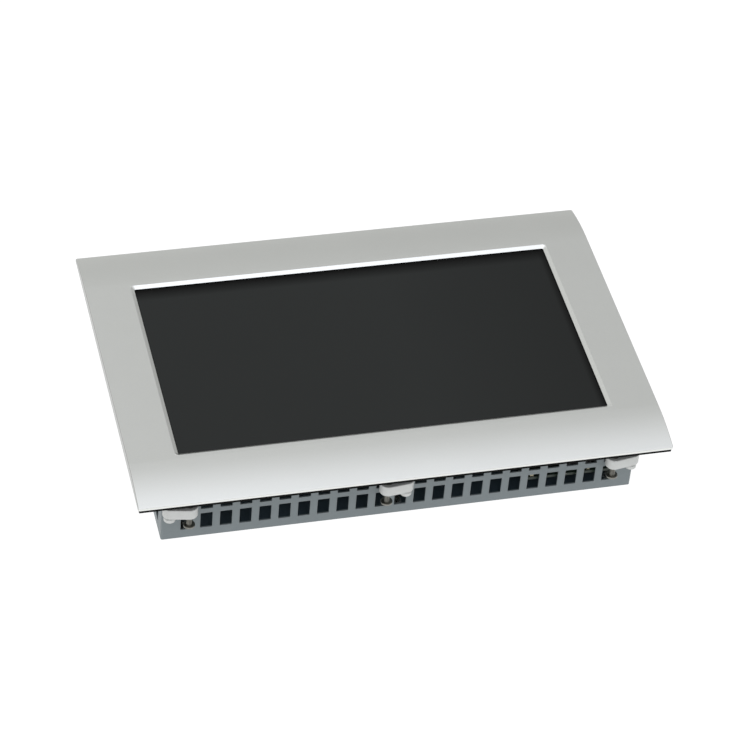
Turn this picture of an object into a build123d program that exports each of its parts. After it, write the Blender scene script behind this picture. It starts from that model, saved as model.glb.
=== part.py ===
from build123d import *
import os
from math import cos, sin

# Panel-mounted operator terminal with a 10.1 inch touch screen, lying on its back.
# X runs along the width, +Y to the upper edge of the panel, +Z out of the screen.
# The origin is the middle of the rear face, so Z = 0 is the plane that it lies on.

# ---- front bezel
BEZEL_W = 275.0
BEZEL_H = 190.0
BEZEL_FRONT_Z = 41.6
BEZEL_REAR_Z = 36.3
BEZEL_EDGE_DROP = 3.9
BEZEL_ARC_RUN = 28.0
BEZEL_CORNER_R = 1.0
BEZEL_EDGE_BREAK = 0.35
WINDOW_W = 223.4
WINDOW_H = 125.2
WINDOW_CORNER_R = 0.8
BEVEL_RUN = 1.9
BEVEL_DEPTH = 1.25
BEVEL_CORNER_R = 2.4
LIP_REAR_Z = 40.15

# ---- screen stack
GLASS_W = 236.0
GLASS_H = 138.0
GLASS_T = 1.6
POCKET_GAP = 0.3
SEAL_T = 0.3
SEAL_INSET = 1.2
LCD_W = 233.0
LCD_H = 136.0
LCD_FRONT_Z = 37.8
LCD_REAR_Z = 33.7

# ---- panel gasket and front carrier
GASKET_REAR_Z = 34.3
GASKET_INSET = 0.6
GASKET_CORNER_R = 0.4
CUTOUT_W = 249.0
CUTOUT_H = 182.0
GASKET_INNER_GAP = 0.4
CARRIER_REAR_Z = 33.7
CARRIER_GAP = 0.3
CARRIER_OPEN_W = 234.0
CARRIER_OPEN_H = 137.0

# ---- housing
HOUSING_W = 246.0
HOUSING_H = 162.2
SHEET_T = 0.8
HOUSING_CORNER_R = 1.0
COVER_T = 1.6
COVER_GAP = 0.2
COVER_FLANGE = 8.0
FRONT_FLANGE = 6.5
FRONT_FLANGE_T = 1.1
FILM_T = 0.3
FILM_GAP = 1.0

# ---- ventilation pattern, in all four walls
VENT_PITCH = 10.0
VENT_W = 6.2
VENT_H = 10.1
VENT_LOW_Z = 5.5
VENT_ROW_STEP = 13.1
VENT_COUNT_LONG = 23
VENT_COUNT_SHORT = 15
VENT_CORNER_R = 0.35

# ---- swivel clamps: a captive left-hand spindle, a threaded bush on it and a lug round the bush
CLAMP_X = {"left": -110.0, "middle": -8.85, "right": 110.0}
CLAMP_Y = 86.5
TIP_SIDE = {"left": -1, "middle": 1, "right": 1}
TIP_TURN = {"left": 7.0, "middle": 3.5, "right": 6.0}
LUG_LOW_Z = 21.65
LUG_T = 6.3
LUG_HUB_R = 4.2
LUG_TIP_R = 3.7
LUG_REACH = 9.8
LUG_EDGE_R = 0.45
FOOT_R = 3.0
FOOT_T = 2.3
FOOT_NECK_R = 1.8
FOOT_NECK_T = 1.3
BUSH_R = 2.35
BUSH_FLANGE_R = 3.1
BUSH_FLANGE_T = 0.8
RUN_GAP = 0.05
SPINDLE_R = 1.5
SPINDLE_HEAD_R = 3.05
SPINDLE_HEAD_T = 1.0
SPINDLE_HEAD_LOW_Z = 13.8
SPINDLE_HEX_AF = 2.0
SPINDLE_HEX_DEPTH = 1.8
COLLAR_R = 2.3
COLLAR_T = 0.5
RIVET_R = 2.5
RIVET_T = 0.9

# ---- electronics
RETAINER_W = 230.0
RETAINER_H = 146.0
RETAINER_REAR_Z = 32.6
BOARD_W = 206.0
BOARD_H = 126.0
BOARD_LOW_Z = 22.0
BOARD_T = 1.6
POWER_BOARD = (66.0, 116.0, -78.6, -20.0)
POWER_BOARD_LOW_Z = 9.6
PORT_Y = -42.0
NETWORK_X = (-90.0, -70.0)
USB_X = (-48.0, -37.0)
SERIAL_X = -8.0
JACK_XS = (SERIAL_X - 12.5, SERIAL_X + 12.5)
JACK_HOLE_R = 3.2
PORT_MARGIN = 0.5
POWER_X = 32.0
RESET_X = 52.0
POLE_PITCH = 5.08
POLE_COUNT = 3
SINK_AT = (-32.0, 21.0)
SINK_SIZE = (70.0, 60.0)
BATTERY_AT = (60.0, 30.0)
EARTH_AT = (100.0, 48.0)
EARTH_SEAT_Z = 4.0
EARTH_R = 2.0
EARTH_WASHER_T = 0.8
EARTH_HEAD_T = 2.6
PLATE_AT = (22.0, 34.0)
PLATE_SIZE = (60.0, 40.0)
PLATE_T = 0.3

# ---- fasteners
M3_R = 1.5
M3_HEAD_R = 2.8
M3_HEAD_T = 2.0
THREAD_GAP = 0.02


def block(x0, x1, y0, y1, z0, z1):
    """A box between two opposite corners."""
    return Pos((x0 + x1) / 2, (y0 + y1) / 2, (z0 + z1) / 2) * Box(x1 - x0, y1 - y0, z1 - z0)


def plate(width, height, z0, z1, x=0.0, y=0.0, corner=0.0):
    """A flat plate between two heights, with rounded corners if a radius is given."""
    outline = RectangleRounded(width, height, corner) if corner else Rectangle(width, height)
    return Pos(x, y, z0) * extrude(outline, z1 - z0)


def rod(radius, z0, z1, x=0.0, y=0.0):
    """An upright cylinder between two heights."""
    return Pos(x, y, (z0 + z1) / 2) * Cylinder(radius, z1 - z0)


def hexagon(across_flats, z0, z1, x=0.0, y=0.0):
    """An upright hexagonal bar between two heights."""
    outline = RegularPolygon(across_flats / 2, 6, major_radius=False)
    return Pos(x, y, z0) * extrude(outline, z1 - z0)


def save(node, *pieces):
    """Write the solids of one node, one or several, to its own STEP file."""
    solids = [solid for piece in pieces for solid in piece.solids()]
    shape = solids[0] if len(solids) == 1 else Compound(children=solids)
    export_step(shape, f"parts/{node}.step")


def pan_screw(x, y, seat_z, tip_z):
    """An M3 pan-head screw that points up, with its head below the seat and a hexagon socket."""
    screw = rod(M3_R, seat_z, tip_z, x, y) + rod(M3_HEAD_R, seat_z - M3_HEAD_T, seat_z, x, y)
    return screw - hexagon(2.0, seat_z - M3_HEAD_T, seat_z - M3_HEAD_T + 1.2, x, y)


def flat_screw(x, y, face_z, tip_z):
    """An M3 countersunk screw that points up, with its head flush with the face."""
    cone = Pos(x, y, face_z + M3_R / 2) * Cone(2 * M3_R, M3_R, M3_R)
    screw = cone + rod(M3_R, face_z + M3_R, tip_z, x, y)
    return screw - hexagon(2.0, face_z, face_z + 1.1, x, y)


def countersink(x, y, face_z):
    """The cone that a countersunk M3 head sits in."""
    return Pos(x, y, face_z + M3_R / 2) * Cone(2 * M3_R + THREAD_GAP, M3_R + THREAD_GAP, M3_R)


def fixing_holes(points, z0, z1, radius=M3_R + THREAD_GAP):
    """The holes for a set of screws."""
    return [rod(radius, z0, z1, x, y) for x, y in points]


RETAINER_POINTS = [(x, sy * 70.7) for x in (-100.0, -35.0, 35.0, 100.0) for sy in (-1, 1)]
SHELL_POINTS = [(x, sy * 76.7) for x in (-70.0, 0.0, 70.0) for sy in (-1, 1)]
CARRIER_POINTS = [(x, sy * 86.5) for x in (-60.0, 60.0) for sy in (-1, 1)]
CARRIER_POINTS += [(sx * 120.4, y) for y in (-45.0, 45.0) for sx in (-1, 1)]
COVER_POINTS = [(x, sy * 75.6) for x in (-112.0, 0.0, 112.0) for sy in (-1, 1)]
COVER_POINTS += [(sx * 117.5, 0.0) for sx in (-1, 1)]
STANDOFF_POINTS = [(x, sy * 57.0) for x in (-97.0, 0.0, 97.0) for sy in (-1, 1)]
POWER_POINTS = [(x, y) for x in (71.0, 99.0) for y in (-46.0, -26.0)]
SPINDLE_POINTS = [(x, sy * CLAMP_Y) for x in CLAMP_X.values() for sy in (-1, 1)]

GLASS_FRONT_Z = LIP_REAR_Z - SEAL_T
GLASS_REAR_Z = GLASS_FRONT_Z - GLASS_T
BOARD_TOP_Z = BOARD_LOW_Z + BOARD_T
LUG_HIGH_Z = LUG_LOW_Z + LUG_T


def outer_rim(faces):
    """The edges that only one of the faces has."""
    edges = [edge for face in faces for edge in face.edges()]
    return [edge for edge in edges if sum(edge.is_same(other) for other in edges) == 1]


def front_bezel():
    """A bar with a flat middle and two long arcs, with the window and the glass pocket cut out."""
    half = BEZEL_H / 2
    knee = half - BEZEL_ARC_RUN
    low = BEZEL_FRONT_Z - BEZEL_EDGE_DROP
    radius = (BEZEL_ARC_RUN ** 2 + BEZEL_EDGE_DROP ** 2) / (2 * BEZEL_EDGE_DROP)
    mid_y = knee + radius * sin(0.5 * BEZEL_ARC_RUN / radius)
    mid_z = BEZEL_FRONT_Z - radius * (1 - cos(0.5 * BEZEL_ARC_RUN / radius))
    outline = [
        Line((-half, BEZEL_REAR_Z), (half, BEZEL_REAR_Z)),
        Line((half, BEZEL_REAR_Z), (half, low)),
        ThreePointArc((half, low), (mid_y, mid_z), (knee, BEZEL_FRONT_Z)),
        Line((knee, BEZEL_FRONT_Z), (-knee, BEZEL_FRONT_Z)),
        ThreePointArc((-knee, BEZEL_FRONT_Z), (-mid_y, mid_z), (-half, low)),
        Line((-half, low), (-half, BEZEL_REAR_Z)),
    ]
    section = Plane.YZ * make_face(Curve() + outline)
    bar = Pos(-BEZEL_W / 2, 0, 0) * extrude(section, BEZEL_W, dir=(1, 0, 0))
    bar = fillet(bar.edges().filter_by(Axis.Z), BEZEL_CORNER_R)
    front_faces = [face for face in bar.faces() if face.normal_at().Z > 0.5]
    bar = fillet(outer_rim(front_faces), BEZEL_EDGE_BREAK)
    outer_w = WINDOW_W + 2 * BEVEL_RUN
    outer_h = WINDOW_H + 2 * BEVEL_RUN
    bevel = loft([
        Pos(0, 0, BEZEL_FRONT_Z - BEVEL_DEPTH) * RectangleRounded(WINDOW_W, WINDOW_H, WINDOW_CORNER_R),
        Pos(0, 0, BEZEL_FRONT_Z) * RectangleRounded(outer_w, outer_h, BEVEL_CORNER_R),
    ])
    window = plate(WINDOW_W, WINDOW_H, BEZEL_REAR_Z, BEZEL_FRONT_Z, corner=WINDOW_CORNER_R)
    pocket = plate(GLASS_W + 2 * POCKET_GAP, GLASS_H + 2 * POCKET_GAP, BEZEL_REAR_Z, LIP_REAR_Z, corner=2.0)
    threads = fixing_holes(CARRIER_POINTS, BEZEL_REAR_Z, BEZEL_REAR_Z + 2.2)
    return bar - bevel - window - pocket - threads


def sealing_gasket():
    """The flat foam frame between the bezel and the panel that it is fixed to."""
    outer_w = BEZEL_W - 2 * GASKET_INSET
    outer_h = BEZEL_H - 2 * GASKET_INSET
    frame = plate(outer_w, outer_h, GASKET_REAR_Z, BEZEL_REAR_Z, corner=GASKET_CORNER_R)
    inner_w = CUTOUT_W + 2 * GASKET_INNER_GAP
    inner_h = CUTOUT_H + 2 * GASKET_INNER_GAP
    return frame - plate(inner_w, inner_h, GASKET_REAR_Z, BEZEL_REAR_Z, corner=3.0)


def glass_seal():
    """The thin seal between the bezel's lip and the touch glass."""
    frame = plate(GLASS_W, GLASS_H, GLASS_FRONT_Z, LIP_REAR_Z, corner=1.7)
    hole_w = WINDOW_W + 2 * SEAL_INSET
    hole_h = WINDOW_H + 2 * SEAL_INSET
    return frame - plate(hole_w, hole_h, GLASS_FRONT_Z, LIP_REAR_Z)


def lcd_module():
    """The display cell with its stepped backlight tray, held in the carrier's opening."""
    cell = plate(LCD_W - 1.0, LCD_H - 1.0, LCD_REAR_Z + 2.0, LCD_FRONT_Z)
    tray = plate(LCD_W, LCD_H, LCD_REAR_Z, LCD_REAR_Z + 2.0, corner=1.0)
    return cell + tray


def screen_gasket():
    """The foam frame that spaces the display from the touch glass."""
    frame = plate(LCD_W - 1.0, LCD_H - 1.0, LCD_FRONT_Z, GLASS_REAR_Z)
    return frame - plate(WINDOW_W + 4.0, WINDOW_H + 4.0, LCD_FRONT_Z, GLASS_REAR_Z)


def front_carrier():
    """The flat frame behind the bezel that fills the panel's cut-out and holds the spindles."""
    outer_w = CUTOUT_W - 2 * CARRIER_GAP
    outer_h = CUTOUT_H - 2 * CARRIER_GAP
    frame = plate(outer_w, outer_h, CARRIER_REAR_Z, BEZEL_REAR_Z, corner=2.5)
    frame -= plate(CARRIER_OPEN_W, CARRIER_OPEN_H, CARRIER_REAR_Z, BEZEL_REAR_Z, corner=1.5)
    frame -= fixing_holes(CARRIER_POINTS + RETAINER_POINTS + SHELL_POINTS, CARRIER_REAR_Z, BEZEL_REAR_Z)
    frame -= [countersink(x, y, CARRIER_REAR_Z) for x, y in CARRIER_POINTS]
    frame -= fixing_holes(SPINDLE_POINTS, CARRIER_REAR_Z, BEZEL_REAR_Z, SPINDLE_R + RUN_GAP)
    seat_z = BEZEL_REAR_Z - RIVET_T - 2 * RUN_GAP
    return frame - fixing_holes(SPINDLE_POINTS, seat_z, BEZEL_REAR_Z, RIVET_R + 2 * RUN_GAP)


def vent_cutters():
    """Two rows of upright slots for each of the four walls."""
    slot = RectangleRounded(VENT_W, VENT_H, VENT_CORNER_R)
    cutters = []
    for side in (-1, 1):
        long_wall = Plane((0, side * (HOUSING_H / 2 + 1), 0), x_dir=(-side, 0, 0), z_dir=(0, side, 0))
        short_wall = Plane((side * (HOUSING_W / 2 + 1), 0, 0), x_dir=(0, side, 0), z_dir=(side, 0, 0))
        for wall, count in ((long_wall, VENT_COUNT_LONG), (short_wall, VENT_COUNT_SHORT)):
            for row in range(2):
                height = VENT_LOW_Z + VENT_H / 2 + row * VENT_ROW_STEP
                for index in range(count):
                    shift = (index - (count - 1) / 2) * VENT_PITCH
                    cutters.append(extrude(wall * Pos(shift, height) * slot, -(SHEET_T + 2)))
    return cutters


def housing_shell():
    """The folded sheet body: four ventilated walls, a front flange and a flange for the cover."""
    inner_w = HOUSING_W - 2 * SHEET_T
    inner_h = HOUSING_H - 2 * SHEET_T
    inner_r = HOUSING_CORNER_R - SHEET_T
    shell = plate(HOUSING_W, HOUSING_H, 0, CARRIER_REAR_Z, corner=HOUSING_CORNER_R)
    shell -= plate(inner_w, inner_h, 0, CARRIER_REAR_Z, corner=inner_r)
    shell -= vent_cutters()
    ring_high = COVER_T + SHEET_T
    ring = plate(inner_w, inner_h, COVER_T, ring_high, corner=inner_r)
    ring -= plate(inner_w - 2 * COVER_FLANGE, inner_h - 2 * COVER_FLANGE, COVER_T, ring_high, corner=3.0)
    shell += ring
    flange_low = CARRIER_REAR_Z - FRONT_FLANGE_T
    for side in (-1, 1):
        edge = side * inner_h / 2
        inner = side * (inner_h / 2 - FRONT_FLANGE)
        shell += block(-100, 100, min(edge, inner), max(edge, inner), flange_low, CARRIER_REAR_Z)
    shell -= fixing_holes(SHELL_POINTS, flange_low, CARRIER_REAR_Z)
    return shell - fixing_holes(COVER_POINTS, COVER_T, ring_high)


def port_openings(low, high, margin):
    """The shapes to cut for the connectors, the plug and the reset button, with a margin all round."""
    cuts = [plate(16.0 + 2 * margin, 13.6 + 2 * margin, low, high, x, PORT_Y) for x in NETWORK_X]
    cuts += [plate(6.6 + 2 * margin, 14.0 + 2 * margin, low, high, x, PORT_Y) for x in USB_X]
    plug_w = POLE_PITCH * POLE_COUNT + 0.8
    cuts.append(plate(plug_w + 2 * margin, 13.0 + 2 * margin, low, high, POWER_X, PORT_Y, 0.5 + margin / 2))
    cuts.append(rod(2.0 + margin, low, high, RESET_X, PORT_Y))
    return cuts


def rear_cover():
    """The flush sheet cover, with the port openings and a dished recess for the earth screw."""
    width = HOUSING_W - 2 * (SHEET_T + COVER_GAP)
    height = HOUSING_H - 2 * (SHEET_T + COVER_GAP)
    cover = plate(width, height, 0, COVER_T, corner=0.8)
    dish_outer = Pos(*EARTH_AT, EARTH_SEAT_Z / 2 + 0.7) * Cone(10.4, 7.8, EARTH_SEAT_Z + 1.4)
    dish_inner = Pos(*EARTH_AT, EARTH_SEAT_Z / 2) * Cone(9.0, 6.6, EARTH_SEAT_Z)
    cover = cover + dish_outer - dish_inner
    cover -= port_openings(0, COVER_T, PORT_MARGIN)
    cover -= plate(20.0, 11.6, 0, COVER_T, SERIAL_X, PORT_Y, 2.0)
    cover -= [rod(JACK_HOLE_R, 0, COVER_T, x, PORT_Y) for x in JACK_XS]
    cover -= plate(PLATE_SIZE[0] + 0.4, PLATE_SIZE[1] + 0.4, 0, PLATE_T, *PLATE_AT)
    cover -= rod(EARTH_R + THREAD_GAP, EARTH_SEAT_Z, EARTH_SEAT_Z + 1.4, *EARTH_AT)
    cover -= fixing_holes(COVER_POINTS, 0, COVER_T)
    return cover - [countersink(x, y, 0) for x, y in COVER_POINTS]


def insulation_film():
    """The black film that lines the rear of the housing, on top of the cover flange."""
    low = COVER_T + SHEET_T
    high = low + FILM_T
    width = HOUSING_W - 2 * (SHEET_T + FILM_GAP)
    height = HOUSING_H - 2 * (SHEET_T + FILM_GAP)
    film = plate(width, height, low, high, corner=2.0)
    film -= port_openings(low, high, FILM_GAP)
    film -= plate(34.0, 14.0, low, high, SERIAL_X, PORT_Y, 2.0)
    film -= rod(10.4, low, high, *EARTH_AT)
    return film - fixing_holes(COVER_POINTS, low, high, M3_R + FILM_GAP)


def lcd_retainer():
    """The plate that holds the display in the carrier and carries the boards."""
    sheet = plate(RETAINER_W, RETAINER_H, RETAINER_REAR_Z, CARRIER_REAR_Z, corner=2.0)
    sheet -= fixing_holes(RETAINER_POINTS + STANDOFF_POINTS, RETAINER_REAR_Z, CARRIER_REAR_Z)
    return sheet - plate(36.0, 8.0, RETAINER_REAR_Z, CARRIER_REAR_Z, 60.0, 50.0, 1.0)


def standoffs():
    """Hexagonal spacers: six for the main board, four longer ones for the power board."""
    posts = []
    for x, y in STANDOFF_POINTS:
        post = hexagon(5.5, BOARD_TOP_Z, RETAINER_REAR_Z, x, y)
        post += rod(M3_R, RETAINER_REAR_Z, CARRIER_REAR_Z, x, y)
        posts.append(post - rod(M3_R + THREAD_GAP, BOARD_TOP_Z, BOARD_TOP_Z + 6.0, x, y))
    for x, y in POWER_POINTS:
        low = POWER_BOARD_LOW_Z + BOARD_T
        post = hexagon(5.5, low, BOARD_LOW_Z, x, y)
        post += rod(M3_R, BOARD_LOW_Z, BOARD_TOP_Z + 1.5, x, y)
        posts.append(post - rod(M3_R + THREAD_GAP, low, low + 6.0, x, y))
    return posts


def board_screws():
    """The screws that hold the two boards to their spacers."""
    screws = [pan_screw(x, y, BOARD_LOW_Z, BOARD_TOP_Z + 4.5) for x, y in STANDOFF_POINTS]
    low = POWER_BOARD_LOW_Z
    return screws + [pan_screw(x, y, low, low + BOARD_T + 4.5) for x, y in POWER_POINTS]


def mainboard():
    """The main circuit board."""
    board = plate(BOARD_W, BOARD_H, BOARD_LOW_Z, BOARD_TOP_Z, corner=2.0)
    return board - fixing_holes(STANDOFF_POINTS + POWER_POINTS, BOARD_LOW_Z, BOARD_TOP_Z)


def power_board():
    """The power supply board, behind the main board in the lower right corner."""
    x0, x1, y0, y1 = POWER_BOARD
    board = block(x0, x1, y0, y1, POWER_BOARD_LOW_Z, POWER_BOARD_LOW_Z + BOARD_T)
    return board - fixing_holes(POWER_POINTS, POWER_BOARD_LOW_Z, POWER_BOARD_LOW_Z + BOARD_T)


def heat_sink():
    """A finned block on the processor, with four feet that stand on the board."""
    x, y = SINK_AT
    width, height = SINK_SIZE
    sink = plate(width, height, 17.4, 20.4, x, y)
    for index in range(12):
        fin_x = x - width / 2 + 1.0 + index * (width - 2.0) / 11
        sink += block(fin_x - 0.7, fin_x + 0.7, y - height / 2, y + height / 2, 6.0, 17.4)
    for sx in (-1, 1):
        for sy in (-1, 1):
            sink += rod(2.5, 20.4, BOARD_LOW_Z, x + sx * (width / 2 - 4), y + sy * (height / 2 - 4))
    return sink


def processor():
    """The processor package under the heat sink."""
    return plate(34.0, 34.0, 20.4, BOARD_LOW_Z, *SINK_AT)


def network_ports():
    """Two upright network sockets, open to the rear, each with a latch notch."""
    ports = []
    for x in NETWORK_X:
        body = plate(16.0, 13.6, 0.4, BOARD_LOW_Z, x, PORT_Y)
        body -= plate(11.8, 8.0, 0.4, 13.0, x, PORT_Y - 0.6)
        body -= block(x - 3.1, x + 3.1, PORT_Y + 3.2, PORT_Y + 5.6, 0.4, 13.0)
        ports.append(body)
    return ports


def usb_ports():
    """Two upright USB sockets as folded shells, open to the rear."""
    ports = []
    for x in USB_X:
        body = plate(6.6, 14.0, 0.4, BOARD_LOW_Z, x, PORT_Y, 0.4)
        ports.append(body - plate(5.4, 12.6, 0.4, 10.5, x, PORT_Y))
    return ports


def usb_tongues():
    """The contact tongues inside the USB sockets."""
    return [block(x - 2.2, x - 0.4, PORT_Y - 5.6, PORT_Y + 5.6, 2.0, 10.5) for x in USB_X]


def serial_outline(width_a, width_b, height):
    """The D-shaped outline of the serial port."""
    corners = [(-width_a / 2, height / 2), (width_a / 2, height / 2)]
    corners += [(width_b / 2, -height / 2), (-width_b / 2, -height / 2)]
    return make_face(Polyline(*corners, close=True))


def serial_port():
    """A nine-pole D-shaped connector with its flange and shell."""
    place = Pos(SERIAL_X, PORT_Y, 0)
    flange = plate(30.8, 12.5, 6.8, BOARD_LOW_Z, SERIAL_X, PORT_Y)
    shell = place * Pos(0, 0, 0.6) * extrude(serial_outline(18.2, 16.0, 9.6), 6.2)
    hollow = place * Pos(0, 0, 0.6) * extrude(serial_outline(17.0, 14.8, 8.4), 6.2)
    body = flange + shell - hollow
    return body - [rod(1.45, 6.8, 12.0, x, PORT_Y) for x in JACK_XS]


def serial_pins():
    """Nine contact pins in two rows."""
    rows = [(-5.54 + 2.77 * index, 1.42) for index in range(5)]
    rows += [(-4.155 + 2.77 * index, -1.42) for index in range(4)]
    return [rod(0.5, 1.6, 6.8, SERIAL_X + dx, PORT_Y + dy) for dx, dy in rows]


def serial_jackscrews():
    """The two threaded hexagonal posts beside the serial port."""
    posts = []
    for x in JACK_XS:
        post = hexagon(4.8, 1.9, 6.8, x, PORT_Y) + rod(1.43, 6.8, 12.0, x, PORT_Y)
        posts.append(post - rod(1.1, 1.9, 6.0, x, PORT_Y))
    return posts


def power_header():
    """The fixed half of the supply connector, a shroud on the main board."""
    length = POLE_PITCH * POLE_COUNT
    shroud = plate(length + 2.4, 12.0, 11.0, BOARD_LOW_Z, POWER_X, PORT_Y)
    return shroud - plate(length + 0.6, 9.2, 11.0, 19.6, POWER_X, PORT_Y)


def pole_xs():
    """The X positions of the supply connector's poles."""
    return [POWER_X + (index - (POLE_COUNT - 1) / 2) * POLE_PITCH for index in range(POLE_COUNT)]


def power_pins():
    """The contact pins of the supply connector, standing on the floor of its shroud."""
    return [block(x - 0.5, x + 0.5, PORT_Y - 0.5, PORT_Y + 0.5, 12.6, 19.6) for x in pole_xs()]


def power_plug():
    """The pluggable half of the supply connector, with wire entries and screw wells."""
    length = POLE_PITCH * POLE_COUNT
    body = plate(length + 0.8, 13.0, 0.5, 10.4, POWER_X, PORT_Y, 0.5)
    body += plate(length, 8.4, 10.4, 19.0, POWER_X, PORT_Y)
    for x in pole_xs():
        body -= block(x - 0.8, x + 0.8, PORT_Y - 0.8, PORT_Y + 0.8, 11.6, 19.0)
        body -= plate(3.6, 3.4, 0.5, 9.0, x, PORT_Y - 3.4)
        body -= rod(1.9, 0.5, 6.0, x, PORT_Y + 3.2)
    return body


def plug_screws():
    """The slotted wire-clamping screws in the plug."""
    screws = []
    for x in pole_xs():
        screw = rod(1.88, 3.4, 6.0, x, PORT_Y + 3.2)
        screws.append(screw - block(x - 1.4, x + 1.4, PORT_Y + 2.95, PORT_Y + 3.45, 3.4, 4.2))
    return screws


def reset_switch():
    """The body of the reset push-switch."""
    body = plate(7.0, 7.0, 8.4, BOARD_LOW_Z, RESET_X, PORT_Y, 0.5)
    return body - rod(2.05, 8.4, 14.0, RESET_X, PORT_Y)


def reset_button():
    """The round plunger of the reset switch, flush with the cover."""
    plunger = rod(2.0, 0.6, 12.6, RESET_X, PORT_Y)
    return plunger - Pos(RESET_X, PORT_Y, 0.6) * Sphere(1.2)


def battery_holder():
    """The open clip that holds the backup cell on the main board."""
    x, y = BATTERY_AT
    body = plate(24.0, 24.0, 16.8, BOARD_LOW_Z, x, y, 3.0)
    body -= rod(10.1, 16.8, 21.2, x, y)
    return body - block(x - 4, x + 4, y - 12, y, 16.8, 21.2)


def capacitors():
    """Round and box capacitors on the front side of the power board."""
    base = POWER_BOARD_LOW_Z + BOARD_T
    parts = [rod(4.0, base, base + 9.5, x, -68.0) for x in (72.0, 82.0)]
    parts.append(block(88.0, 101.0, -74.5, -68.5, base, base + 8.0))
    parts.append(block(104.0, 112.0, -76.0, -70.0, base, base + 6.0))
    return parts


def power_inductor():
    """The wound inductor of the supply, as a rounded block."""
    base = POWER_BOARD_LOW_Z + BOARD_T
    return Pos(85, -42, base) * extrude(RectangleRounded(14.0, 14.0, 3.0), 7.0)


def lcd_cable():
    """The flat ribbon that joins the display to the main board through the retainer's slot."""
    upper = block(46.0, 74.0, 49.4, 50.6, BOARD_TOP_Z + 3.0, LCD_REAR_Z)
    socket = block(43.0, 77.0, 47.5, 52.5, BOARD_TOP_Z, BOARD_TOP_Z + 3.0)
    return upper + socket


def lug_outline():
    """The lug seen from the front: a hub circle and a smaller tip circle joined by tangents."""
    tilt = (LUG_HUB_R - LUG_TIP_R) / LUG_REACH
    rise = (1 - tilt ** 2) ** 0.5
    corners = [(LUG_HUB_R * tilt, LUG_HUB_R * rise), (LUG_REACH + LUG_TIP_R * tilt, LUG_TIP_R * rise)]
    corners += [(x, -y) for x, y in reversed(corners)]
    sides = make_face(Polyline(*corners, close=True))
    return sides + Circle(LUG_HUB_R) + Pos(LUG_REACH, 0) * Circle(LUG_TIP_R)


def clamp_place(side, row):
    """The axis of one clamp."""
    return Pos(CLAMP_X[side], row * CLAMP_Y, 0)


def clamp_lug(side, row):
    """A swivelling lug round its bush, turned a little toward the wall, with a foot under the tip."""
    body = Pos(0, 0, LUG_LOW_Z) * extrude(lug_outline(), LUG_T)
    faces = body.faces().sort_by(Axis.Z)
    body = fillet(list(faces[0].edges()) + list(faces[-1].edges()), LUG_EDGE_R)
    foot_top = LUG_LOW_Z - FOOT_NECK_T
    body += rod(FOOT_NECK_R, foot_top, LUG_LOW_Z, LUG_REACH, 0)
    foot = rod(FOOT_R, foot_top - FOOT_T, foot_top, LUG_REACH, 0)
    body += chamfer(foot.edges().filter_by(GeomType.CIRCLE), 0.3)
    body -= rod(BUSH_R + RUN_GAP, LUG_LOW_Z, LUG_HIGH_Z)
    body -= rod(BUSH_FLANGE_R + 0.3, LUG_LOW_Z, LUG_LOW_Z + BUSH_FLANGE_T + RUN_GAP)
    away = -TIP_TURN[side] * TIP_SIDE[side] * row
    heading = away if TIP_SIDE[side] > 0 else 180 + away
    return clamp_place(side, row) * Rot(0, 0, heading) * body


def clamp_bush(side, row):
    """The flanged bush with the left-hand thread that the lug swivels on and the spindle drives."""
    bush = rod(BUSH_R, LUG_LOW_Z, LUG_HIGH_Z - 0.1) + rod(BUSH_FLANGE_R, LUG_LOW_Z, LUG_LOW_Z + BUSH_FLANGE_T)
    bush -= rod(SPINDLE_R + RUN_GAP, LUG_LOW_Z, LUG_HIGH_Z)
    return clamp_place(side, row) * bush


def clamp_spindle(side, row):
    """A threaded spindle held in the carrier by a collar and a riveted end, with a flat head at the rear."""
    head_top = SPINDLE_HEAD_LOW_Z + SPINDLE_HEAD_T
    head = rod(SPINDLE_HEAD_R, SPINDLE_HEAD_LOW_Z, head_top)
    spindle = chamfer(head.edges().filter_by(GeomType.CIRCLE), 0.2)
    rivet_top = BEZEL_REAR_Z - RUN_GAP
    spindle += rod(SPINDLE_R, head_top, rivet_top)
    spindle += rod(RIVET_R, rivet_top - RIVET_T, rivet_top)
    collar_top = CARRIER_REAR_Z - RUN_GAP
    spindle += rod(COLLAR_R, collar_top - COLLAR_T, collar_top)
    spindle -= hexagon(SPINDLE_HEX_AF, SPINDLE_HEAD_LOW_Z, SPINDLE_HEAD_LOW_Z + SPINDLE_HEX_DEPTH)
    return clamp_place(side, row) * spindle


os.makedirs("parts", exist_ok=True)

save("front_bezel", front_bezel())
save("sealing_gasket", sealing_gasket())
save("glass_seal", glass_seal())
save("touch_glass", plate(GLASS_W, GLASS_H, GLASS_REAR_Z, GLASS_FRONT_Z, corner=1.7))
save("screen_gasket", screen_gasket())
save("lcd_module", lcd_module())
save("front_carrier", front_carrier())
save("lcd_retainer", lcd_retainer())
save("housing_shell", housing_shell())
save("rear_cover", rear_cover())
save("insulation_film", insulation_film())

save("carrier_screws", *[flat_screw(x, y, CARRIER_REAR_Z, BEZEL_REAR_Z + 2.0) for x, y in CARRIER_POINTS])
save("retainer_screws", *[pan_screw(x, y, RETAINER_REAR_Z, CARRIER_REAR_Z + 2.2) for x, y in RETAINER_POINTS])
shell_seat = CARRIER_REAR_Z - FRONT_FLANGE_T
save("shell_screws", *[pan_screw(x, y, shell_seat, CARRIER_REAR_Z + 2.2) for x, y in SHELL_POINTS])
save("cover_screws", *[flat_screw(x, y, 0, 5.0) for x, y in COVER_POINTS])

save("mainboard", mainboard())
save("power_board", power_board())
save("board_standoffs", *standoffs())
save("board_screws", *board_screws())
save("processor", processor())
save("heat_sink", heat_sink())
save("capacitors", *capacitors())
save("power_inductor", power_inductor())
save("battery_holder", battery_holder())
save("coin_cell", rod(10.0, 17.8, 21.0, *BATTERY_AT))
save("lcd_cable", lcd_cable())

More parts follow.
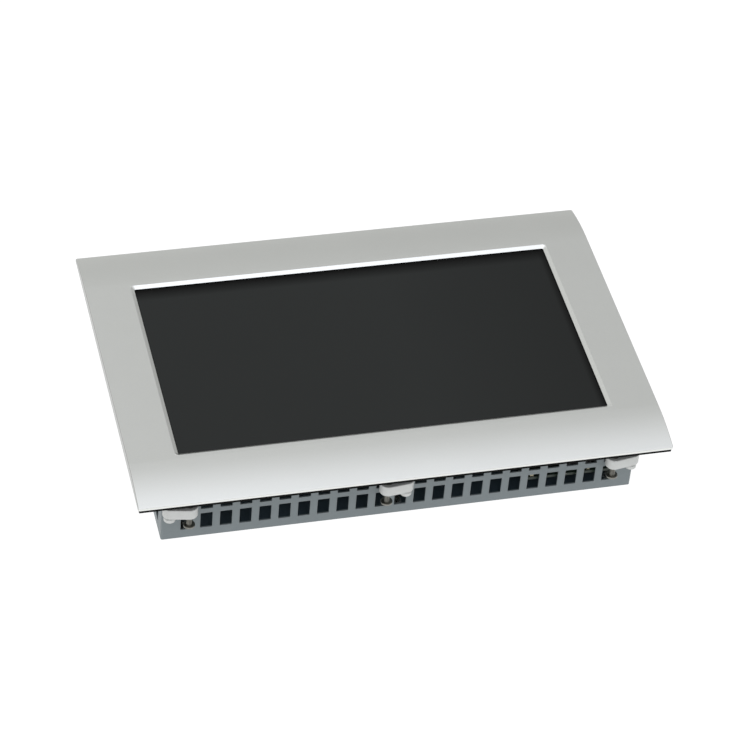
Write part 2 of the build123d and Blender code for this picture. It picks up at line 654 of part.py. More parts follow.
save("network_ports", *network_ports())
save("usb_ports", *usb_ports())
save("usb_tongues", *usb_tongues())
save("serial_port", serial_port())
save("serial_pins", *serial_pins())
save("serial_jackscrews", *serial_jackscrews())
save("power_header", power_header())
save("power_pins", *power_pins())
save("power_plug", power_plug())
save("plug_screws", *plug_screws())
save("reset_switch", reset_switch())
save("reset_button", reset_button())
save("rating_plate", plate(*PLATE_SIZE, 0, PLATE_T, *PLATE_AT, 1.0))

washer_low = EARTH_SEAT_Z - EARTH_WASHER_T
head_low = washer_low - EARTH_HEAD_T
earth = rod(EARTH_R, washer_low, 9.5, *EARTH_AT) + rod(3.8, head_low, washer_low, *EARTH_AT)
save("earth_screw", earth - hexagon(3.0, head_low, head_low + 1.5, *EARTH_AT))
washer = rod(4.5, washer_low, EARTH_SEAT_Z, *EARTH_AT)
save("earth_washer", washer - rod(EARTH_R + THREAD_GAP, washer_low, EARTH_SEAT_Z, *EARTH_AT))

for row_name, row in (("lower", -1), ("upper", 1)):
    for side in CLAMP_X:
        save(f"lug_{row_name}_{side}", clamp_lug(side, row))
        save(f"bush_{row_name}_{side}", clamp_bush(side, row))
        save(f"spindle_{row_name}_{side}", clamp_spindle(side, row))
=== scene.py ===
import math

import bmesh
import bpy
from mathutils import Matrix, Vector


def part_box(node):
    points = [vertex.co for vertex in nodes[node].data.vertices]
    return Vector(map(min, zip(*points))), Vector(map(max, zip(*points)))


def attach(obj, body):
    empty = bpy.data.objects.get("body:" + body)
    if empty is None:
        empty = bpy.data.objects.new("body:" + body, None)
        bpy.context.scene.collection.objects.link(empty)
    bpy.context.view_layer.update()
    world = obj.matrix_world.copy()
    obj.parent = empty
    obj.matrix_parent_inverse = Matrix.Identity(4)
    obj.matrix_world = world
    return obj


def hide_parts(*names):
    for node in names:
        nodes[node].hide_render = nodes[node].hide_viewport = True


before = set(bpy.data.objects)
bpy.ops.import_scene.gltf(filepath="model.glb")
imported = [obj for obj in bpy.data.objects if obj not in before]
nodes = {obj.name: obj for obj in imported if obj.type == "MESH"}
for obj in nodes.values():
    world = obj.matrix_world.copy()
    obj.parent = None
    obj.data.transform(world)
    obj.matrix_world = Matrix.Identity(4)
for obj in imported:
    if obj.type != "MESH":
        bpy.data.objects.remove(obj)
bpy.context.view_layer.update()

MM = 0.001
CLAMPS = [f"{row}_{side}" for row in ("lower", "upper") for side in ("left", "middle", "right")]


# ---------------------------------------------------------------- materials

def socket(shader, name, value):
    """Sets one input of a node to a constant."""
    shader.inputs[name].default_value = value


class Paint:
    """A Principled material whose colour, roughness and bump come from noise in the object's own frame."""

    def __init__(self, name, color, metallic=0.0, roughness=0.5):
        self.material = bpy.data.materials.new(name)
        self.material.use_nodes = True
        self.tree = self.material.node_tree
        self.shader = self.tree.nodes["Principled BSDF"]
        self.base = (*color, 1.0)
        self.roughness = roughness
        socket(self.shader, "Base Color", self.base)
        socket(self.shader, "Metallic", metallic)
        socket(self.shader, "Roughness", roughness)
        self.coords = self.tree.nodes.new("ShaderNodeTexCoord")

    def node(self, kind, **values):
        """Adds a node with the given settings."""
        made = self.tree.nodes.new(kind)
        for key, value in values.items():
            setattr(made, key, value)
        return made

    def link(self, source, target):
        self.tree.links.new(source, target)

    def place(self):
        """The X and Y of the surface in the object's own frame."""
        split = self.node("ShaderNodeSeparateXYZ")
        self.link(self.coords.outputs["Object"], split.inputs[0])
        return split.outputs["X"], split.outputs["Y"]

    def noise(self, scale, detail=2.0, stretch=(1.0, 1.0, 1.0)):
        """Noise in the object's own frame; the scale is in waves per metre."""
        mapping = self.node("ShaderNodeMapping")
        socket(mapping, "Scale", stretch)
        self.link(self.coords.outputs["Object"], mapping.inputs["Vector"])
        made = self.node("ShaderNodeTexNoise")
        socket(made, "Scale", scale)
        socket(made, "Detail", detail)
        self.link(mapping.outputs["Vector"], made.inputs["Vector"])
        return made.outputs["Fac"]

    def spread(self, fac, low, high, start=0.3, end=0.7):
        """Maps a value to a range; the default start and end suit noise."""
        made = self.node("ShaderNodeMapRange")
        socket(made, "From Min", start)
        socket(made, "From Max", end)
        socket(made, "To Min", low)
        socket(made, "To Max", high)
        self.link(fac, made.inputs["Value"])
        return made.outputs["Result"]

    def maths(self, operation, first, second=None):
        """Works on values and numbers."""
        made = self.node("ShaderNodeMath", operation=operation)
        for index, value in enumerate((first, second)):
            if isinstance(value, (int, float)):
                made.inputs[index].default_value = value
            elif value is not None:
                self.link(value, made.inputs[index])
        return made.outputs[0]

    def mottle(self, scale, amount, detail=3.0, stretch=(1.0, 1.0, 1.0)):
        """Lightens and darkens the colour a little."""
        return self.scale_color(self.spread(self.noise(scale, detail, stretch), 1.0 - amount, 1.0 + amount))

    def scale_color(self, factor):
        """Multiplies the colour that is there by a value."""
        made = self.node("ShaderNodeVectorMath", operation="SCALE")
        self.take_color(made.inputs[0], self.base[:3])
        self.link(factor, made.inputs["Scale"])
        self.link(made.outputs[0], self.shader.inputs["Base Color"])
        return self

    def mix_color(self, mask, color):
        """Lays another colour over the one that is there, where the mask says."""
        made = self.node("ShaderNodeMix", data_type="RGBA")
        self.take_color(made.inputs[6], self.base)
        made.inputs[7].default_value = (*color, 1.0)
        self.link(mask, made.inputs[0])
        self.link(made.outputs[2], self.shader.inputs["Base Color"])

    def take_color(self, target, fallback):
        """Connects the colour made so far to an input, or sets it there."""
        found = self.shader.inputs["Base Color"]
        if found.is_linked:
            self.link(found.links[0].from_socket, target)
        else:
            target.default_value = fallback

    def polish(self, scale, amount, detail=2.0, stretch=(1.0, 1.0, 1.0)):
        """Varies the roughness about its own value."""
        fac = self.noise(scale, detail, stretch)
        low, high = self.roughness - amount, self.roughness + amount
        self.link(self.spread(fac, low, high), self.shader.inputs["Roughness"])
        return self

    def relief(self, height, depth):
        """Adds a bump of the given depth in metres on top of any that is there."""
        bump = self.node("ShaderNodeBump")
        socket(bump, "Distance", depth)
        self.link(height, bump.inputs["Height"])
        normal = self.shader.inputs["Normal"]
        if normal.is_linked:
            self.link(normal.links[0].from_socket, bump.inputs["Normal"])
        self.link(bump.outputs["Normal"], normal)
        return self

    def grain(self, scale, depth, detail=2.0, stretch=(1.0, 1.0, 1.0)):
        """A fine irregular surface."""
        return self.relief(self.noise(scale, detail, stretch), depth)

    def rings(self, scale, depth):
        """Turning marks: fine bands across Z."""
        wave = self.node("ShaderNodeTexWave", wave_type="BANDS", bands_direction="Z")
        socket(wave, "Scale", scale)
        socket(wave, "Distortion", 0.4)
        self.link(self.coords.outputs["Object"], wave.inputs["Vector"])
        return self.relief(wave.outputs["Fac"], depth)


def srgb(*values):
    """Linear colour from 0-255 display values."""
    return tuple((v / 255 / 12.92) if v <= 10 else ((v / 255 + 0.055) / 1.055) ** 2.4 for v in values)


WINDOW_HALF_W = 111.7 * MM
WINDOW_HALF_H = 62.6 * MM
BEZEL_HALF_W = 137.5 * MM
# Painted shade: the colour darkens within a fraction of a millimetre of the cut ends.
CUT_END = (0.1 * MM, 0.3 * MM)
CUT_END_PAINTED_SHADE = 0.5
# Painted highlight: the colour is brighter on the bevel within about 2 mm of the window.
BEVEL_OUTLINE = (1.85 * MM, 1.95 * MM)
BEVEL_PAINTED_HIGHLIGHT = 1.12


def bezel_paint():
    """Fine-grained anodised metal, with painted shade on its cut ends and a painted highlight on the bevel
    round the window.
    """
    metal = Paint("bezel_anodised", srgb(229, 231, 228), metallic=0.95, roughness=0.3)
    metal.mottle(35, 0.008).mottle(900, 0.006, detail=2).polish(900, 0.02).grain(700, 0.000001)
    x, y = metal.place()
    across = metal.maths("ABSOLUTE", x)
    along = metal.maths("ABSOLUTE", y)
    from_end = metal.maths("SUBTRACT", BEZEL_HALF_W, across)
    # Painted shade on the cut ends, standing in for their darker reflection.
    metal.scale_color(metal.spread(from_end, CUT_END_PAINTED_SHADE, 1.0, *CUT_END))
    past_side = metal.maths("SUBTRACT", across, WINDOW_HALF_W)
    past_window = metal.maths("MAXIMUM", past_side, metal.maths("SUBTRACT", along, WINDOW_HALF_H))
    # Painted highlight on the bevel round the window, standing in for its bright reflection.
    return metal.scale_color(metal.spread(past_window, BEVEL_PAINTED_HIGHLIGHT, 1.0, *BEVEL_OUTLINE))


bezel_metal = bezel_paint()

housing_paint = Paint("housing_powder_coat", srgb(124, 133, 136), roughness=0.5)
housing_paint.mottle(30, 0.03).polish(400, 0.06).grain(2200, 0.00002)

carrier_paint = Paint("carrier_black_coat", (0.012, 0.012, 0.014), roughness=0.6)
carrier_paint.mottle(60, 0.15).grain(2500, 0.00001)

foam = Paint("gasket_foam", (0.004, 0.004, 0.004), roughness=0.9)
foam.mottle(500, 0.3).grain(3000, 0.00006)
socket(foam.shader, "IOR", 1.25)

zinc = Paint("die_cast_zinc", srgb(208, 210, 208), metallic=0.1, roughness=0.5)
zinc.mottle(180, 0.03).polish(700, 0.08).grain(1400, 0.00002)

plated = Paint("zinc_plated_steel", (0.60, 0.59, 0.56), metallic=1.0, roughness=0.32)
plated.mottle(250, 0.08).polish(900, 0.08).grain(2600, 0.00001)

dull_tin = Paint("dull_tin", (0.06, 0.062, 0.065), metallic=0.5, roughness=0.6)
dull_tin.mottle(300, 0.1).grain(1500, 0.00001)

turned = Paint("turned_steel", (0.25, 0.245, 0.22), metallic=1.0, roughness=0.33)
turned.mottle(300, 0.1).polish(600, 0.06).rings(600, 0.00002)

bush_metal = Paint("bush_steel", (0.30, 0.29, 0.27), metallic=1.0, roughness=0.35)
bush_metal.mottle(300, 0.08).polish(600, 0.06).rings(600, 0.00002)

film = Paint("insulating_film", (0.053, 0.082, 0.104), roughness=0.5)
film.mottle(40, 0.2).polish(300, 0.08).grain(300, 0.00004)

black_plastic = Paint("black_moulded", (0.012, 0.012, 0.013), roughness=0.5)
black_plastic.mottle(200, 0.15).grain(1800, 0.00002)

green_plastic = Paint("green_terminal", (0.03, 0.16, 0.05), roughness=0.45)
green_plastic.mottle(150, 0.08).grain(1500, 0.00002)

white_plastic = Paint("white_moulded", (0.70, 0.68, 0.62), roughness=0.5)
white_plastic.mottle(150, 0.04).grain(1500, 0.00001)

beige = Paint("beige_ceramic", (0.50, 0.46, 0.33), roughness=0.45)
beige.mottle(400, 0.1).grain(1500, 0.00002)

gold = Paint("gold_contact", (0.86, 0.62, 0.22), metallic=1.0, roughness=0.22)
gold.mottle(400, 0.06).polish(900, 0.05).grain(3000, 0.000004)

lamp_green = Paint("lamp_window", (0.10, 0.34, 0.12), roughness=0.25)
lamp_green.mottle(500, 0.08).polish(900, 0.05).grain(2500, 0.000005)

sink_black = Paint("heat_sink_anodised", (0.02, 0.02, 0.022), metallic=0.6, roughness=0.45)
sink_black.mottle(100, 0.1).grain(2000, 0.00001, stretch=(1.0, 0.05, 1.0))

foil = Paint("rating_foil", (0.62, 0.62, 0.61), metallic=0.8, roughness=0.38)
foil.mottle(80, 0.03).polish(500, 0.05).grain(2500, 0.000006, stretch=(1.0, 0.05, 1.0))

display = Paint("display_panel", (0.01, 0.01, 0.012), roughness=0.3)
display.mottle(80, 0.1).grain(1500, 0.00001)


TRACK_SCALE = 260.0
TRACK_WIDTH = 0.06
TRACK_STRENGTH = 0.45
PAD_SCALE = 420.0
PAD_SIZE = 0.13


def circuit_board(name, mask_color, track_color, pad_color):
    """Solder mask with copper tracks that show through, and small tinned pads."""
    board = Paint(name, mask_color, roughness=0.4)
    tracks = board.node("ShaderNodeTexBrick")
    socket(tracks, "Scale", TRACK_SCALE)
    socket(tracks, "Mortar Size", TRACK_WIDTH)
    board.link(board.coords.outputs["Object"], tracks.inputs["Vector"])
    board.mix_color(board.maths("MULTIPLY", tracks.outputs["Fac"], TRACK_STRENGTH), track_color)
    pads = board.node("ShaderNodeTexVoronoi", feature="F1")
    socket(pads, "Scale", PAD_SCALE)
    board.link(board.coords.outputs["Object"], pads.inputs["Vector"])
    board.mix_color(board.maths("LESS_THAN", pads.outputs["Distance"], PAD_SIZE), pad_color)
    board.mottle(60, 0.08)
    return board.grain(1500, 0.00001)


board_mask = circuit_board(
    "board_solder_mask", (0.014, 0.026, 0.018), (0.022, 0.05, 0.03), (0.20, 0.19, 0.16),
)

# Painted shadow of the bezel lip on the screen, fading in from the top and right edges.
TOP_SHADOW_SPAN = (1.2 * MM, 9.0 * MM)
TOP_PAINTED_SHADOW = 0.02
RIGHT_SHADOW_SPAN = (0.3 * MM, 4.0 * MM)
RIGHT_PAINTED_SHADOW = 0.15
# A thin dark line along the left and bottom edges of the screen.
LEFT_BOTTOM_LINE = (0.0, 0.6 * MM)
LEFT_BOTTOM_DARKENING = 0.1
# Painted shade: the screen's colour darkens from the middle towards the right side.
SIDE_SHADE_SPAN = (20 * MM, 105 * MM)
SIDE_PAINTED_SHADE = 0.76


def touch_screen():
    """Grey anti-glare surface with painted shade towards the right; a painted shadow of the bezel lip fades
    in at the top and right.
    """
    screen = Paint("touch_screen_antiglare", srgb(45, 47, 46), roughness=0.4)
    socket(screen.shader, "IOR", 1.2)
    x, y = screen.place()
    from_top = screen.maths("SUBTRACT", WINDOW_HALF_H, y)
    from_right = screen.maths("SUBTRACT", WINDOW_HALF_W, x)
    from_left = screen.maths("ADD", x, WINDOW_HALF_W)
    from_bottom = screen.maths("ADD", y, WINDOW_HALF_H)
    from_left_bottom = screen.maths("MINIMUM", from_left, from_bottom)
    screen.mottle(12, 0.02)
    # Painted shade, darker towards the right.
    screen.scale_color(screen.spread(x, 1.0, SIDE_PAINTED_SHADE, *SIDE_SHADE_SPAN))
    # Painted shadow of the bezel lip along the top edge.
    screen.scale_color(screen.spread(from_top, TOP_PAINTED_SHADOW, 1.0, *TOP_SHADOW_SPAN))
    # Painted shadow of the bezel lip along the right edge.
    screen.scale_color(screen.spread(from_right, RIGHT_PAINTED_SHADOW, 1.0, *RIGHT_SHADOW_SPAN))
    # Darker in a thin line along the left and bottom edges.
    screen.scale_color(screen.spread(from_left_bottom, LEFT_BOTTOM_DARKENING, 1.0, *LEFT_BOTTOM_LINE))
    screen.polish(1400, 0.03)
    return screen.grain(3800, 0.000002)


screen_surface = touch_screen()

PAINTS = {
    "bezel": (bezel_metal, ["front_bezel"]),
    "foam": (foam, ["sealing_gasket", "glass_seal", "screen_gasket"]),
    "screen": (screen_surface, ["touch_glass"]),
    "display": (display, ["lcd_module"]),
    "carrier": (carrier_paint, ["front_carrier"]),
    "film": (film, ["insulation_film"]),
    "housing": (housing_paint, ["housing_shell", "rear_cover"]),
    "plated": (plated, [
        "lcd_retainer", "carrier_screws", "retainer_screws", "shell_screws", "cover_screws",
        "board_standoffs", "board_screws", "coin_cell", "network_ports", "usb_ports", "serial_port",
        "serial_jackscrews", "plug_screws", "earth_screw", "earth_washer",
    ]),
    "board": (board_mask, ["mainboard", "power_board"]),
    "black": (black_plastic, [
        "processor", "capacitors", "power_inductor", "battery_holder", "reset_switch", "reset_button",
    ]),
    "sink": (sink_black, ["heat_sink"]),
    "white": (white_plastic, ["lcd_cable", "usb_tongues"]),
    "gold": (gold, ["serial_pins", "power_pins"]),
    "terminal": (green_plastic, ["power_header", "power_plug"]),
    "foil": (foil, ["rating_plate"]),
    "lug": (zinc, [f"lug_{clamp}" for clamp in CLAMPS]),
    "bush": (bush_metal, [f"bush_{clamp}" for clamp in CLAMPS]),
    "spindle": (turned, [f"spindle_{clamp}" for clamp in CLAMPS]),
}
for paint, painted in PAINTS.values():
    for node in painted:
        nodes[node].data.materials.clear()
        nodes[node].data.materials.append(paint.material)


# ---------------------------------------------------------------- added pieces

SHARP_ANGLE = math.radians(35)


def mesh_piece(name, fill, paint, body):
    """Makes a piece from a bmesh that a function fills, and lets it ride on a body."""
    bm = bmesh.new()
    fill(bm)
    bmesh.ops.recalc_face_normals(bm, faces=bm.faces)
    mesh = bpy.data.meshes.new(name)
    bm.to_mesh(mesh)
    bm.free()
    mesh.shade_smooth()
    mesh.set_sharp_from_angle(angle=SHARP_ANGLE)
    mesh.materials.append(paint.material)
    piece = bpy.data.objects.new(name, mesh)
    bpy.context.scene.collection.objects.link(piece)
    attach(piece, body)
    return piece


def loft(bm, rings):
    """Joins rings of equal length into one closed skin, with a flat cap at both ends."""
    skins = [[bm.verts.new(point) for point in ring] for ring in rings]
    count = len(skins[0])
    for lower, upper in zip(skins, skins[1:]):
        for k in range(count):
            after = (k + 1) % count
            bm.faces.new((lower[k], lower[after], upper[after], upper[k]))
    bm.faces.new(list(reversed(skins[0])))
    bm.faces.new(skins[-1])


AROUND = 36


def circle(x, y, z, radius):
    """One ring of points."""
    turns = [2 * math.pi * k / AROUND for k in range(AROUND)]
    return [(x + radius * math.cos(a), y + radius * math.sin(a), z) for a in turns]


def hexagon(x, y, z, half_flats):
    """A ring of points on a hexagon, at the same angles as the circle's."""
    ring = []
    for k in range(AROUND):
        angle = 2 * math.pi * k / AROUND
        off_flat = (angle + math.pi / 6) % (math.pi / 3) - math.pi / 6
        radius = half_flats / math.cos(off_flat)
        ring.append((x + radius * math.cos(angle), y + radius * math.sin(angle), z))
    return ring


def left_hand_thread(x, y, low, high, radius, pitch, depth, per_turn=8):
    """Rings whose radius follows a left-hand helix, running out smoothly at both ends."""
    rings = []
    steps = round((high - low) / pitch * per_turn)
    for step in range(steps + 1):
        z = low + (high - low) * step / steps
        fade = min(1.0, (z - low) / pitch, (high - z) / pitch)
        ring = []
        for k in range(AROUND):
            phase = ((z - low) / pitch + k / AROUND) % 1.0
            groove = abs(2.0 * phase - 1.0)
            r = radius - depth * groove * fade
            angle = 2 * math.pi * k / AROUND
            ring.append((x + r * math.cos(angle), y + r * math.sin(angle), z))
        rings.append(ring)
    return rings


THREAD_PITCH = 0.5 * MM
THREAD_DEPTH = 0.16 * MM
RUN_OUT = 0.3 * MM
SHAFT_R = 1.5 * MM
HEAD_T = 1.0 * MM
HEAD_BREAK = 0.2 * MM
SOCKET_HALF = 1.0 * MM
SOCKET_DEPTH = 1.8 * MM
SOCKET_MOUTH_R = 1.25 * MM
COLLAR_R = 2.3 * MM
COLLAR_T = 0.5 * MM
COLLAR_ABOVE_HEAD = 19.85 * MM
RIVET_T = 0.9 * MM
RIVET_R = 2.5 * MM
RIVET_BREAK = 0.25 * MM


def spindle(clamp):
    """Fills a mesh with one spindle: socket, flat head, left-hand thread, collar and riveted end."""
    low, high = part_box(f"spindle_{clamp}")
    x, y = (low.x + high.x) / 2, (low.y + high.y) / 2
    head_r = (high.x - low.x) / 2
    collar_top = low.z + COLLAR_ABOVE_HEAD
    thread_low = low.z + HEAD_T + RUN_OUT
    thread_high = collar_top - COLLAR_T - RUN_OUT
    rings = [
        hexagon(x, y, low.z + SOCKET_DEPTH, SOCKET_HALF),
        hexagon(x, y, low.z + HEAD_BREAK, SOCKET_HALF),
        circle(x, y, low.z, SOCKET_MOUTH_R),
        circle(x, y, low.z, head_r - HEAD_BREAK),
        circle(x, y, low.z + HEAD_BREAK, head_r),
        circle(x, y, low.z + HEAD_T - HEAD_BREAK, head_r),
        circle(x, y, low.z + HEAD_T, head_r - HEAD_BREAK),
        circle(x, y, low.z + HEAD_T, SHAFT_R),
    ]
    rings += left_hand_thread(x, y, thread_low, thread_high, SHAFT_R, THREAD_PITCH, THREAD_DEPTH)
    rings += [
        circle(x, y, collar_top - COLLAR_T, SHAFT_R),
        circle(x, y, collar_top - COLLAR_T, COLLAR_R),
        circle(x, y, collar_top, COLLAR_R),
        circle(x, y, collar_top, SHAFT_R),
        circle(x, y, high.z - RIVET_T, SHAFT_R),
        circle(x, y, high.z - RIVET_T, RIVET_R),
        circle(x, y, high.z - RIVET_BREAK, RIVET_R),
        circle(x, y, high.z, RIVET_R - RIVET_BREAK),
    ]
    return lambda bm: loft(bm, rings)


for clamp in CLAMPS:
    plain = f"spindle_{clamp}"
    piece = mesh_piece(f"threaded_{plain}", spindle(clamp), turned, plain)
    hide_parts(plain)


def ribbon(bm, path, across, width, thickness):
    """A thin strip of metal bent along a path of points."""
    half = Vector(across) * width / 2
    points = [Vector(point) for point in path]
    sides = [Vector(across).cross(after - before).normalized() for before, after in zip(points, points[1:])]
    rings = []
    for index, point in enumerate(points):
        near = sides[max(index - 1, 0):index + 1]
        out = sum(near, Vector()).normalized() * thickness / 2
        rings.append([point - half - out, point + half - out, point + half + out, point - half + out])
    loft(bm, rings)


def soft_block(bm, low, high, edge):
    """A moulded block with its edges broken."""
    size = Vector(high) - Vector(low)
    middle = (Vector(high) + Vector(low)) / 2
    where = Matrix.Translation(middle) @ Matrix.Diagonal((*size, 1.0))
    made = bmesh.ops.create_cube(bm, size=1.0, matrix=where)
    edges = {e for vert in made["verts"] for e in vert.link_edges}
    bmesh.ops.bevel(bm, geom=list(edges), offset=edge, segments=2, profile=0.5, affect="EDGES")


network_low, network_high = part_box("network_ports")
NETWORK_HALF = 8.0 * MM
NETWORK_XS = (network_low.x + NETWORK_HALF, network_high.x - NETWORK_HALF)
CONTACTS = 8
CONTACT_PITCH = 1.02 * MM
CONTACT_W = 0.45 * MM
CONTACT_T = 0.25 * MM
CONTACT_START_Y = 2.2 * MM
# Y and Z of the bends, in mm from the start of a contact.
CONTACT_PROFILE = ((0.25, 1.6), (0.3, 2.6), (2.2, 8.6), (2.5, 9.4), (2.2, 10.6))


def network_contacts(bm):
    """Eight bent spring contacts in each network socket."""
    y = network_low.y + CONTACT_START_Y
    z = network_low.z
    for x in NETWORK_XS:
        for index in range(CONTACTS):
            at = x + (index - (CONTACTS - 1) / 2) * CONTACT_PITCH
            path = [(at, y + dy * MM, z + dz * MM) for dy, dz in CONTACT_PROFILE]
            ribbon(bm, path, (1, 0, 0), CONTACT_W, CONTACT_T)


LAMP_HALF_W = 1.3 * MM
LAMP_HALF_H = 0.5 * MM
LAMP_OFFSET_X = 5.6 * MM
LAMP_FROM_EDGE = 0.9 * MM
LAMP_PROUD = 0.2 * MM
LAMP_SUNK = 0.1 * MM
LAMP_BREAK = 0.08 * MM


def network_lamps(bm):
    """Two small lamp windows on the face of each network socket."""
    y = network_high.y - LAMP_FROM_EDGE
    z = network_low.z
    for x in NETWORK_XS:
        for side in (-1, 1):
            at = x + side * LAMP_OFFSET_X
            low = (at - LAMP_HALF_W, y - LAMP_HALF_H, z - LAMP_PROUD)
            soft_block(bm, low, (at + LAMP_HALF_W, y + LAMP_HALF_H, z + LAMP_SUNK), LAMP_BREAK)


TONGUE_T = 1.8 * MM
STRIP_W = 1.0 * MM
STRIP_T = 0.12 * MM
STRIP_PROUD = 0.02 * MM
STRIP_YS = (-3.5, -1.0, 1.0, 3.5)
STRIP_ZS = (0.6, 0.9, 7.6, 8.2)


def usb_contacts(bm):
    """Four flat contacts on the tongue of each USB socket, at places in mm."""
    low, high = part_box("usb_tongues")
    y = (low.y + high.y) / 2
    for face_x in (low.x + TONGUE_T, high.x):
        for offset in STRIP_YS:
            at = y + offset * MM
            path = [(face_x + STRIP_PROUD, at, low.z + z * MM) for z in STRIP_ZS]
            ribbon(bm, path, (0, 1, 0), STRIP_W, STRIP_T)


mesh_piece("network_contacts", network_contacts, gold, "panel")
mesh_piece("network_lamps", network_lamps, lamp_green, "panel")
mesh_piece("usb_contacts", usb_contacts, gold, "panel")

supply_low, supply_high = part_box("power_board")
PART_BREAK = 0.2 * MM

# Each row: X and Y from the board's lower left corner, width, depth and height, all in mm.
CERAMICS = (
    (3.1, 0.5, 2.0, 1.2, 1.5),
    (20.5, 1.4, 1.6, 1.0, 0.9),
    (33.5, 0.8, 1.6, 1.0, 0.9),
)
CHIPS = (
    (8.0, 1.0, 3.0, 1.6, 1.0),
    (26.0, 1.4, 4.0, 2.4, 1.4),
    (13.5, 1.0, 2.4, 1.6, 1.0),
    (41.0, 1.2, 3.0, 2.0, 1.2),
    (36.0, 18.0, 8.0, 6.0, 2.2),
    (8.0, 20.0, 6.0, 4.0, 1.6),
    (38.0, 30.0, 5.0, 5.0, 1.4),
)
LEAD_XS = (22.0, 23.4, 24.8, 31.0, 34.0, 36.0)
LEAD_PROFILE = ((0, 0), (0, 2.2), (0.3, 3.0), (1.2, 3.4))
LEAD_Y = 3.4 * MM
LEAD_W = 0.6 * MM
LEAD_T = 0.3 * MM


def supply_parts(rows):
    """Fills a mesh with the blocks of a table that stand on the power board."""
    def fill(bm):
        for x, y, width, depth, height in rows:
            left, front, top = supply_low.x + x * MM, supply_low.y + y * MM, supply_high.z
            high = (left + width * MM, front + depth * MM, top + height * MM)
            soft_block(bm, (left, front, top), high, PART_BREAK)
    return fill


def supply_leads(bm):
    """Tinned legs that stand beside the parts on the power board."""
    front = supply_low.y + LEAD_Y
    for x in LEAD_XS:
        at = supply_low.x + x * MM
        path = [(at, front + dy * MM, supply_high.z + dz * MM) for dy, dz in LEAD_PROFILE]
        ribbon(bm, path, (1, 0, 0), LEAD_W, LEAD_T)


mesh_piece("supply_ceramics", supply_parts(CERAMICS), beige, "panel")
mesh_piece("supply_chips", supply_parts(CHIPS), black_plastic, "panel")
mesh_piece("supply_leads", supply_leads, dull_tin, "panel")


# ---------------------------------------------------------------- floor, light and camera

FLOOR_HALF = 6.0
FLOOR_GAP = 0.3 * MM
FLOOR_GLOW = 0.98
floor_mesh = bpy.data.meshes.new("floor")
corners = [(sx * FLOOR_HALF, sy * FLOOR_HALF, 0) for sx, sy in ((-1, -1), (1, -1), (1, 1), (-1, 1))]
floor_mesh.from_pydata(corners, [], [(0, 1, 2, 3)])
floor = bpy.data.objects.new("floor", floor_mesh)
bpy.context.scene.collection.objects.link(floor)
floor.location.z = -FLOOR_GAP
floor_paint = Paint("floor_white", (0.12, 0.12, 0.12), roughness=0.9)
socket(floor_paint.shader, "Emission Color", (1.0, 1.0, 1.0, 1.0))
socket(floor_paint.shader, "Emission Strength", FLOOR_GLOW)
floor_mesh.materials.append(floor_paint.material)

world = bpy.data.worlds.new("studio")
bpy.context.scene.world = world
world.use_nodes = True
sky = world.node_tree
background = sky.nodes["Background"]
place = sky.nodes.new("ShaderNodeTexCoord")
split = sky.nodes.new("ShaderNodeSeparateXYZ")
sky.links.new(place.outputs["Generated"], split.inputs[0])


def sky_ramp(value, start, end, low, high):
    """Maps a value of the sky from one range to another, without going past it."""
    ramp = sky.nodes.new("ShaderNodeMapRange")
    socket(ramp, "From Min", start)
    socket(ramp, "From Max", end)
    socket(ramp, "To Min", low)
    socket(ramp, "To Max", high)
    sky.links.new(value, ramp.inputs["Value"])
    return ramp.outputs["Result"]


def sky_maths(operation, first, second):
    """Combines two values of the sky, or one and a number."""
    made = sky.nodes.new("ShaderNodeMath")
    made.operation = operation
    for index, value in enumerate((first, second)):
        if isinstance(value, float):
            made.inputs[index].default_value = value
        else:
            sky.links.new(value, made.inputs[index])
    return made.outputs[0]


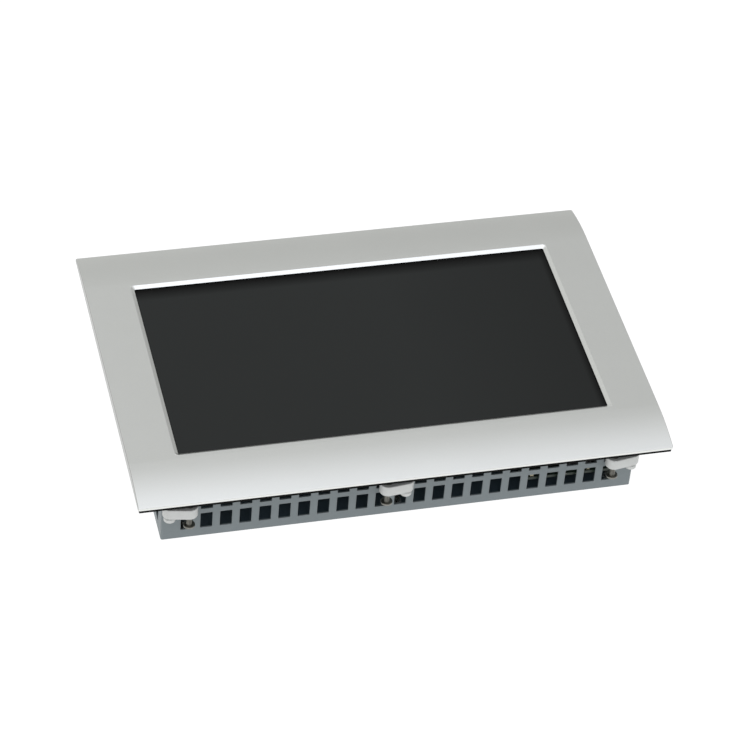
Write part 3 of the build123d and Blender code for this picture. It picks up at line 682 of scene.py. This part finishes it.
# A wide soft light hangs over the object, a little on the camera's side.
LIGHT_UP = 0.954
LIGHT_FRONT = 0.3
LIGHT_REACH = (0.35, 1.0)
LIGHT_FALLOFF = 1.5
LIGHT_GAIN = 0.78
ROOM_LIGHT = 0.58
toward_up = sky_maths("MULTIPLY", split.outputs["Z"], LIGHT_UP)
toward_front = sky_maths("MULTIPLY", split.outputs["Y"], LIGHT_FRONT)
toward_light = sky_maths("SUBTRACT", toward_up, toward_front)
closeness = sky_maths("POWER", sky_ramp(toward_light, *LIGHT_REACH, 0.0, 1.0), LIGHT_FALLOFF)
glow = sky_maths("ADD", sky_maths("MULTIPLY", closeness, LIGHT_GAIN), ROOM_LIGHT)

# The right is dimmer than the left, and so is the low part of the front.
SIDEWAYS_REACH = (0.0, 0.6)
LEFT_LEVEL = 1.04
RIGHT_LEVEL = 0.74
FRONT_REACH = (-0.9, -0.35)
LOW_REACH = (0.35, 0.7)
LOW_FRONT_DROP = 0.5
sideways = sky_ramp(split.outputs["X"], *SIDEWAYS_REACH, LEFT_LEVEL, RIGHT_LEVEL)
frontward = sky_ramp(split.outputs["Y"], *FRONT_REACH, 1.0, 0.0)
lowness = sky_ramp(split.outputs["Z"], *LOW_REACH, LOW_FRONT_DROP, 0.0)
dimmed = sky_maths("SUBTRACT", 1.0, sky_maths("MULTIPLY", frontward, lowness))
strength = sky_maths("MULTIPLY", sky_maths("MULTIPLY", glow, sideways), dimmed)
sky.links.new(strength, background.inputs["Strength"])

# The light is a little cooler than the room.
ROOM_COLOR = (1.0, 1.0, 0.985, 1.0)
LIGHT_COLOR = (1.0, 1.012, 1.085, 1.0)
tint = sky.nodes.new("ShaderNodeMix")
tint.data_type = "RGBA"
sky.links.new(closeness, tint.inputs[0])
tint.inputs[6].default_value = ROOM_COLOR
tint.inputs[7].default_value = LIGHT_COLOR
sky.links.new(tint.outputs[2], background.inputs["Color"])

CAMERA_AT = (-0.34852, -1.16685, 1.13873)
CAMERA_TURN = (47.33295, -3.95018, -13.23036)
SENSOR_W = 36.0
FOCAL_LENGTH = 151.83
FAR_END = 50.0
camera_data = bpy.data.cameras.new("camera")
camera = bpy.data.objects.new("camera", camera_data)
bpy.context.scene.collection.objects.link(camera)
camera_data.sensor_width = SENSOR_W
camera_data.lens = FOCAL_LENGTH
camera_data.clip_end = FAR_END
camera.location = CAMERA_AT
camera.rotation_euler = [math.radians(turn) for turn in CAMERA_TURN]
bpy.context.scene.camera = camera

bpy.context.scene.view_settings.view_transform = "Standard"
